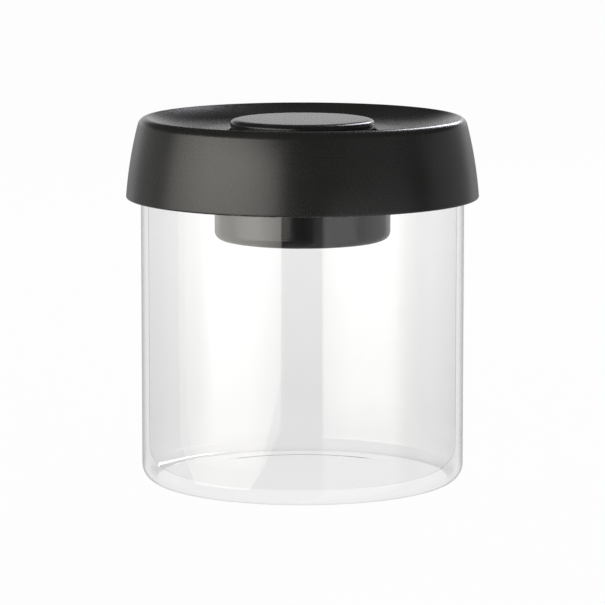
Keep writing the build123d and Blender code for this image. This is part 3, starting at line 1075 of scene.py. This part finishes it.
paperFloor = {
    "size": 8.0,
    "colour": (0.8, 0.8, 0.8),
    "glow": 1.0,
    "glowShare": 0.97,
}


def paperFinish():
    finish = bpy.data.materials.new("paleFloor")
    finish.use_nodes = True
    tree = finish.node_tree
    tree.nodes.clear()
    output = tree.nodes.new("ShaderNodeOutputMaterial")
    matt = tree.nodes.new("ShaderNodeBsdfDiffuse")
    matt.inputs["Color"].default_value = (*paperFloor["colour"], 1)
    glow = tree.nodes.new("ShaderNodeEmission")
    glow.inputs["Strength"].default_value = paperFloor["glow"]
    nothing = tree.nodes.new("ShaderNodeBsdfTransparent")
    path = tree.nodes.new("ShaderNodeLightPath")
    direct = combined(tree, "LESS_THAN", path.outputs["Diffuse Depth"], 0.5)
    mirrored = combined(tree, "MINIMUM", path.outputs["Glossy Depth"], 1.0)
    paper = mixed(tree, product(tree, direct, paperFloor["glowShare"]), matt, glow)
    whole = mixed(tree, mirrored, paper, nothing)
    tree.links.new(whole.outputs["Shader"], output.inputs["Surface"])
    return finish


def makeFloor():
    half = paperFloor["size"] / 2
    corners = [(-half, -half, 0), (half, -half, 0), (half, half, 0), (-half, half, 0)]
    mesh = bpy.data.meshes.new("floor")
    mesh.from_pydata(corners, [], [(0, 1, 2, 3)])
    mesh.materials.append(paperFinish())
    floor = placed("floor", mesh)
    floor.visible_glossy = False


# What stands around the object. Each zone has its light and, in degrees, where it begins and ends:
# from and to go round from the front, and top goes up from the level.

surround = {
    "ambient": 0.42,  # what matt surfaces see all round
    "room": 0.012,  # the dark room, as gloss shows it
    "wall": {"light": 0.12, "from": (22, 44), "to": (60, 84), "top": (25, 40)},  # on the right
    "table": {"light": 0.7, "from": (13, 17), "to": (68, 82), "top": (-4, 9)},  # in front, on the right
    "below": {"light": 0.24, "top": (-44, -20)},  # the white paper under the object
    "side": {"light": 0.3, "from": (84, 100)},  # what is left and right of it
    "back": {"light": 1.0, "from": (115, 172)},  # the white background
    "rearTop": (9, 20),  # side and back both end at this height
    "rearShade": {"light": 0.6, "from": (146, 162), "top": (-4, 3)},  # what they lose low down, behind
}


def makeWorld():
    world = bpy.data.worlds.new("studio")
    bpy.context.scene.world = world
    world.use_nodes = True
    tree = world.node_tree
    nodes, links = tree.nodes, tree.links
    nodes.clear()
    output = nodes.new("ShaderNodeOutputWorld")
    path = nodes.new("ShaderNodeLightPath")
    place = nodes.new("ShaderNodeTexCoord")
    split = nodes.new("ShaderNodeSeparateXYZ")
    links.new(place.outputs["Generated"], split.inputs["Vector"])
    towards = product(tree, split.outputs["Y"], -1.0)
    azimuth = product(tree, combined(tree, "ARCTAN2", split.outputs["X"], towards), math.degrees(1))
    height = product(tree, combined(tree, "ARCSINE", split.outputs["Z"]), math.degrees(1))
    around = combined(tree, "ABSOLUTE", azimuth)

    def opposite(value):
        return combined(tree, "SUBTRACT", 1.0, value)

    def step(value, edges):
        spread = nodes.new("ShaderNodeMapRange")
        spread.interpolation_type = "SMOOTHSTEP"
        spread.inputs["From Min"].default_value, spread.inputs["From Max"].default_value = edges
        links.new(value, spread.inputs["Value"])
        return spread.outputs["Result"]

    def zone(name, angle):
        look = surround[name]
        parts = []
        if "from" in look:
            parts.append(step(angle, look["from"]))
        if "to" in look:
            parts.append(opposite(step(angle, look["to"])))
        if "top" in look:
            parts.append(opposite(step(height, look["top"])))
        return product(tree, *parts, look["light"])

    rear = largest(tree, zone("back", around), zone("side", around))
    rearLow = opposite(step(height, surround["rearTop"]))
    rear = product(tree, rear, rearLow, opposite(zone("rearShade", around)))
    zones = largest(tree, rear, zone("table", azimuth), zone("wall", azimuth), zone("below", azimuth))
    shine = combined(tree, "ADD", zones, surround["room"])
    # White to the camera, the room to a mirror, and an even light to matt surfaces
    matt = combined(tree, "MINIMUM", path.outputs["Diffuse Depth"], 1.0)
    mirrored = combined(tree, "MINIMUM", path.outputs["Glossy Depth"], 1.0)
    seen = product(tree, opposite(matt), opposite(mirrored))
    gloss = product(tree, opposite(matt), mirrored, shine)
    direct = combined(tree, "ADD", seen, gloss)
    strength = combined(tree, "ADD", direct, product(tree, matt, surround["ambient"]))
    backdrop = nodes.new("ShaderNodeBackground")
    backdrop.inputs["Color"].default_value = (1, 1, 1, 1)
    links.new(strength, backdrop.inputs["Strength"])
    links.new(backdrop.outputs["Background"], output.inputs["Surface"])


makeCamera()
makeFloor()
makeWorld()
areaLamp("bigSoftbox", bigSoftbox)
areaLamp("backRightLamp", backRightLamp)
bpy.context.scene.view_settings.view_transform = "Standard"
say("studio is set")
